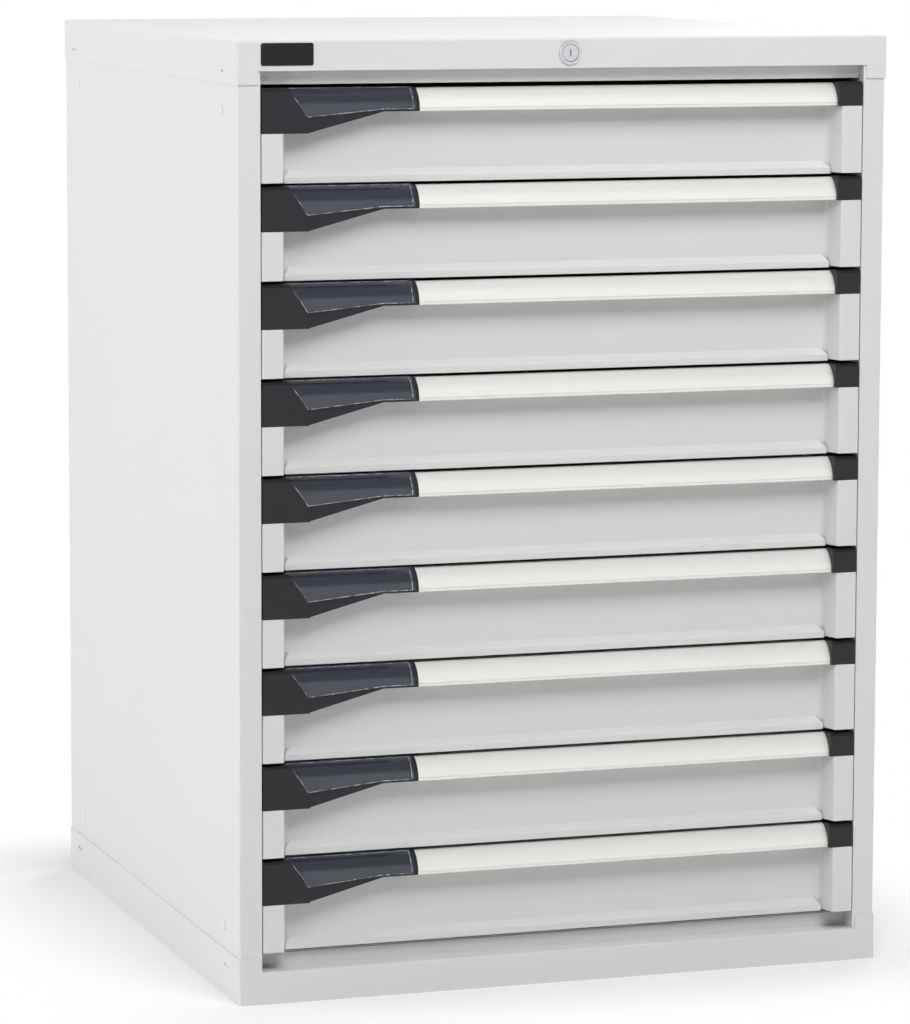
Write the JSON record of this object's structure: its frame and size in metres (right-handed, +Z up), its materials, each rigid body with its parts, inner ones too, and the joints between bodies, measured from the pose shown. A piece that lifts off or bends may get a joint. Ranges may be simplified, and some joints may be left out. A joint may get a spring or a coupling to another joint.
{
  "type": "drawer cabinet",
  "caption": "Light grey sheet-steel cabinet of equal full-extension drawers on roller slides, with aluminium grips, dark grip ends and a central key lock.",
  "frame": {"origin": "middle of the footprint, on the floor", "axes": "+Z up, +X to the right seen from the front, +Y towards the back; the drawers open towards -Y"},
  "size_m": [0.717, 0.725, 1],
  "materials": {
    "cabinet_paint": "light grey powder coat, fine satin",
    "drawer_paint": "light grey powder coat, fine satin",
    "zinc_steel": "bright zinc plate",
    "grip_aluminium": "satin anodised, drawn lengthways",
    "grip_end_plastic": "charcoal moulded plastic, fine grain",
    "window_plastic": "smoked clear plastic, glossy",
    "lock_metal": "polished",
    "plate_plastic": "bare black plate, glossy",
    "plug_plastic": "light grey moulded plastic"
  },
  "bodies": {
    "housing": {"side_panel_left": "cabinet_paint", "side_panel_right": "cabinet_paint", "back_panel": "cabinet_paint", "top_cover": "cabinet_paint", "base_frame": "cabinet_paint", "floor_deck": "cabinet_paint", "front_cross_rail": "cabinet_paint", "cabinet_rails": "zinc_steel", "lock_housing": "lock_metal", "lock_guides": "zinc_steel", "side_plugs": "plug_plastic", "name_plate": "plate_plastic"},
    "key_plug": {"lock_plug": "lock_metal"},
    "pull_rod": {"lock_pull_rod": "zinc_steel"},
    "comb": {"lock_comb": "zinc_steel"},
    "drawer_1": {"drawer_1_tray": "drawer_paint", "drawer_1_grip": "grip_aluminium", "drawer_1_grip_ends": "grip_end_plastic", "drawer_1_label_window": "window_plastic"},
    "carriage_1": {"drawer_1_carriage": "zinc_steel"},
    "drawer_2": {"drawer_2_tray": "drawer_paint", "drawer_2_grip": "grip_aluminium", "drawer_2_grip_ends": "grip_end_plastic", "drawer_2_label_window": "window_plastic"},
    "carriage_2": {"drawer_2_carriage": "zinc_steel"},
    "drawer_3": {"drawer_3_tray": "drawer_paint", "drawer_3_grip": "grip_aluminium", "drawer_3_grip_ends": "grip_end_plastic", "drawer_3_label_window": "window_plastic"},
    "carriage_3": {"drawer_3_carriage": "zinc_steel"},
    "drawer_4": {"drawer_4_tray": "drawer_paint", "drawer_4_grip": "grip_aluminium", "drawer_4_grip_ends": "grip_end_plastic", "drawer_4_label_window": "window_plastic"},
    "carriage_4": {"drawer_4_carriage": "zinc_steel"},
    "drawer_5": {"drawer_5_tray": "drawer_paint", "drawer_5_grip": "grip_aluminium", "drawer_5_grip_ends": "grip_end_plastic", "drawer_5_label_window": "window_plastic"},
    "carriage_5": {"drawer_5_carriage": "zinc_steel"},
    "drawer_6": {"drawer_6_tray": "drawer_paint", "drawer_6_grip": "grip_aluminium", "drawer_6_grip_ends": "grip_end_plastic", "drawer_6_label_window": "window_plastic"},
    "carriage_6": {"drawer_6_carriage": "zinc_steel"},
    "drawer_7": {"drawer_7_tray": "drawer_paint", "drawer_7_grip": "grip_aluminium", "drawer_7_grip_ends": "grip_end_plastic", "drawer_7_label_window": "window_plastic"},
    "carriage_7": {"drawer_7_carriage": "zinc_steel"},
    "drawer_8": {"drawer_8_tray": "drawer_paint", "drawer_8_grip": "grip_aluminium", "drawer_8_grip_ends": "grip_end_plastic", "drawer_8_label_window": "window_plastic"},
    "carriage_8": {"drawer_8_carriage": "zinc_steel"},
    "drawer_9": {"drawer_9_tray": "drawer_paint", "drawer_9_grip": "grip_aluminium", "drawer_9_grip_ends": "grip_end_plastic", "drawer_9_label_window": "window_plastic"},
    "carriage_9": {"drawer_9_carriage": "zinc_steel"}
  },
  "joints": [
    {"name": "drawer_1_slide", "type": "slide", "parent": "housing", "child": "drawer_1", "axis": [0, -1, 0], "range_m": [0, 0.612]},
    {"name": "carriage_1_slide", "type": "slide", "parent": "housing", "child": "carriage_1", "axis": [0, -1, 0], "range_m": [0, 0.306]},
    {"name": "drawer_2_slide", "type": "slide", "parent": "housing", "child": "drawer_2", "axis": [0, -1, 0], "range_m": [0, 0.612]},
    {"name": "carriage_2_slide", "type": "slide", "parent": "housing", "child": "carriage_2", "axis": [0, -1, 0], "range_m": [0, 0.306]},
    {"name": "drawer_3_slide", "type": "slide", "parent": "housing", "child": "drawer_3", "axis": [0, -1, 0], "range_m": [0, 0.612]},
    {"name": "carriage_3_slide", "type": "slide", "parent": "housing", "child": "carriage_3", "axis": [0, -1, 0], "range_m": [0, 0.306]},
    {"name": "drawer_4_slide", "type": "slide", "parent": "housing", "child": "drawer_4", "axis": [0, -1, 0], "range_m": [0, 0.612]},
    {"name": "carriage_4_slide", "type": "slide", "parent": "housing", "child": "carriage_4", "axis": [0, -1, 0], "range_m": [0, 0.306]},
    {"name": "drawer_5_slide", "type": "slide", "parent": "housing", "child": "drawer_5", "axis": [0, -1, 0], "range_m": [0, 0.612]},
    {"name": "carriage_5_slide", "type": "slide", "parent": "housing", "child": "carriage_5", "axis": [0, -1, 0], "range_m": [0, 0.306]},
    {"name": "drawer_6_slide", "type": "slide", "parent": "housing", "child": "drawer_6", "axis": [0, -1, 0], "range_m": [0, 0.612]},
    {"name": "carriage_6_slide", "type": "slide", "parent": "housing", "child": "carriage_6", "axis": [0, -1, 0], "range_m": [0, 0.306]},
    {"name": "drawer_7_slide", "type": "slide", "parent": "housing", "child": "drawer_7", "axis": [0, -1, 0], "range_m": [0, 0.612]},
    {"name": "carriage_7_slide", "type": "slide", "parent": "housing", "child": "carriage_7", "axis": [0, -1, 0], "range_m": [0, 0.306]},
    {"name": "drawer_8_slide", "type": "slide", "parent": "housing", "child": "drawer_8", "axis": [0, -1, 0], "range_m": [0, 0.612]},
    {"name": "carriage_8_slide", "type": "slide", "parent": "housing", "child": "carriage_8", "axis": [0, -1, 0], "range_m": [0, 0.306]},
    {"name": "drawer_9_slide", "type": "slide", "parent": "housing", "child": "drawer_9", "axis": [0, -1, 0], "range_m": [0, 0.612]},
    {"name": "carriage_9_slide", "type": "slide", "parent": "housing", "child": "carriage_9", "axis": [0, -1, 0], "range_m": [0, 0.306]},
    {"name": "key_turn", "type": "hinge", "parent": "housing", "child": "key_plug", "pos_m": [0.001, -0.3618, 0.984], "axis": [0, 1, 0], "range_deg": [0, 90]},
    {"name": "pull_rod_slide", "type": "slide", "parent": "housing", "child": "pull_rod", "axis": [-1, 0, 0], "range_m": [0, 0.01131]},
    {"name": "comb_lift", "type": "slide", "parent": "housing", "child": "comb", "axis": [0, 0, 1], "range_m": [0, 0.01131]}
  ],
  "couplings": [
    {"joint": "carriage_1_slide", "follows": "drawer_1_slide", "ratio": 0.5},
    {"joint": "carriage_2_slide", "follows": "drawer_2_slide", "ratio": 0.5},
    {"joint": "carriage_3_slide", "follows": "drawer_3_slide", "ratio": 0.5},
    {"joint": "carriage_4_slide", "follows": "drawer_4_slide", "ratio": 0.5},
    {"joint": "carriage_5_slide", "follows": "drawer_5_slide", "ratio": 0.5},
    {"joint": "carriage_6_slide", "follows": "drawer_6_slide", "ratio": 0.5},
    {"joint": "carriage_7_slide", "follows": "drawer_7_slide", "ratio": 0.5},
    {"joint": "carriage_8_slide", "follows": "drawer_8_slide", "ratio": 0.5},
    {"joint": "carriage_9_slide", "follows": "drawer_9_slide", "ratio": 0.5},
    {"joint": "pull_rod_slide", "follows": "comb_lift", "ratio": 1},
    {"joint": "key_turn", "follows": "comb_lift", "rad_per_m": 138.88}
  ]
}
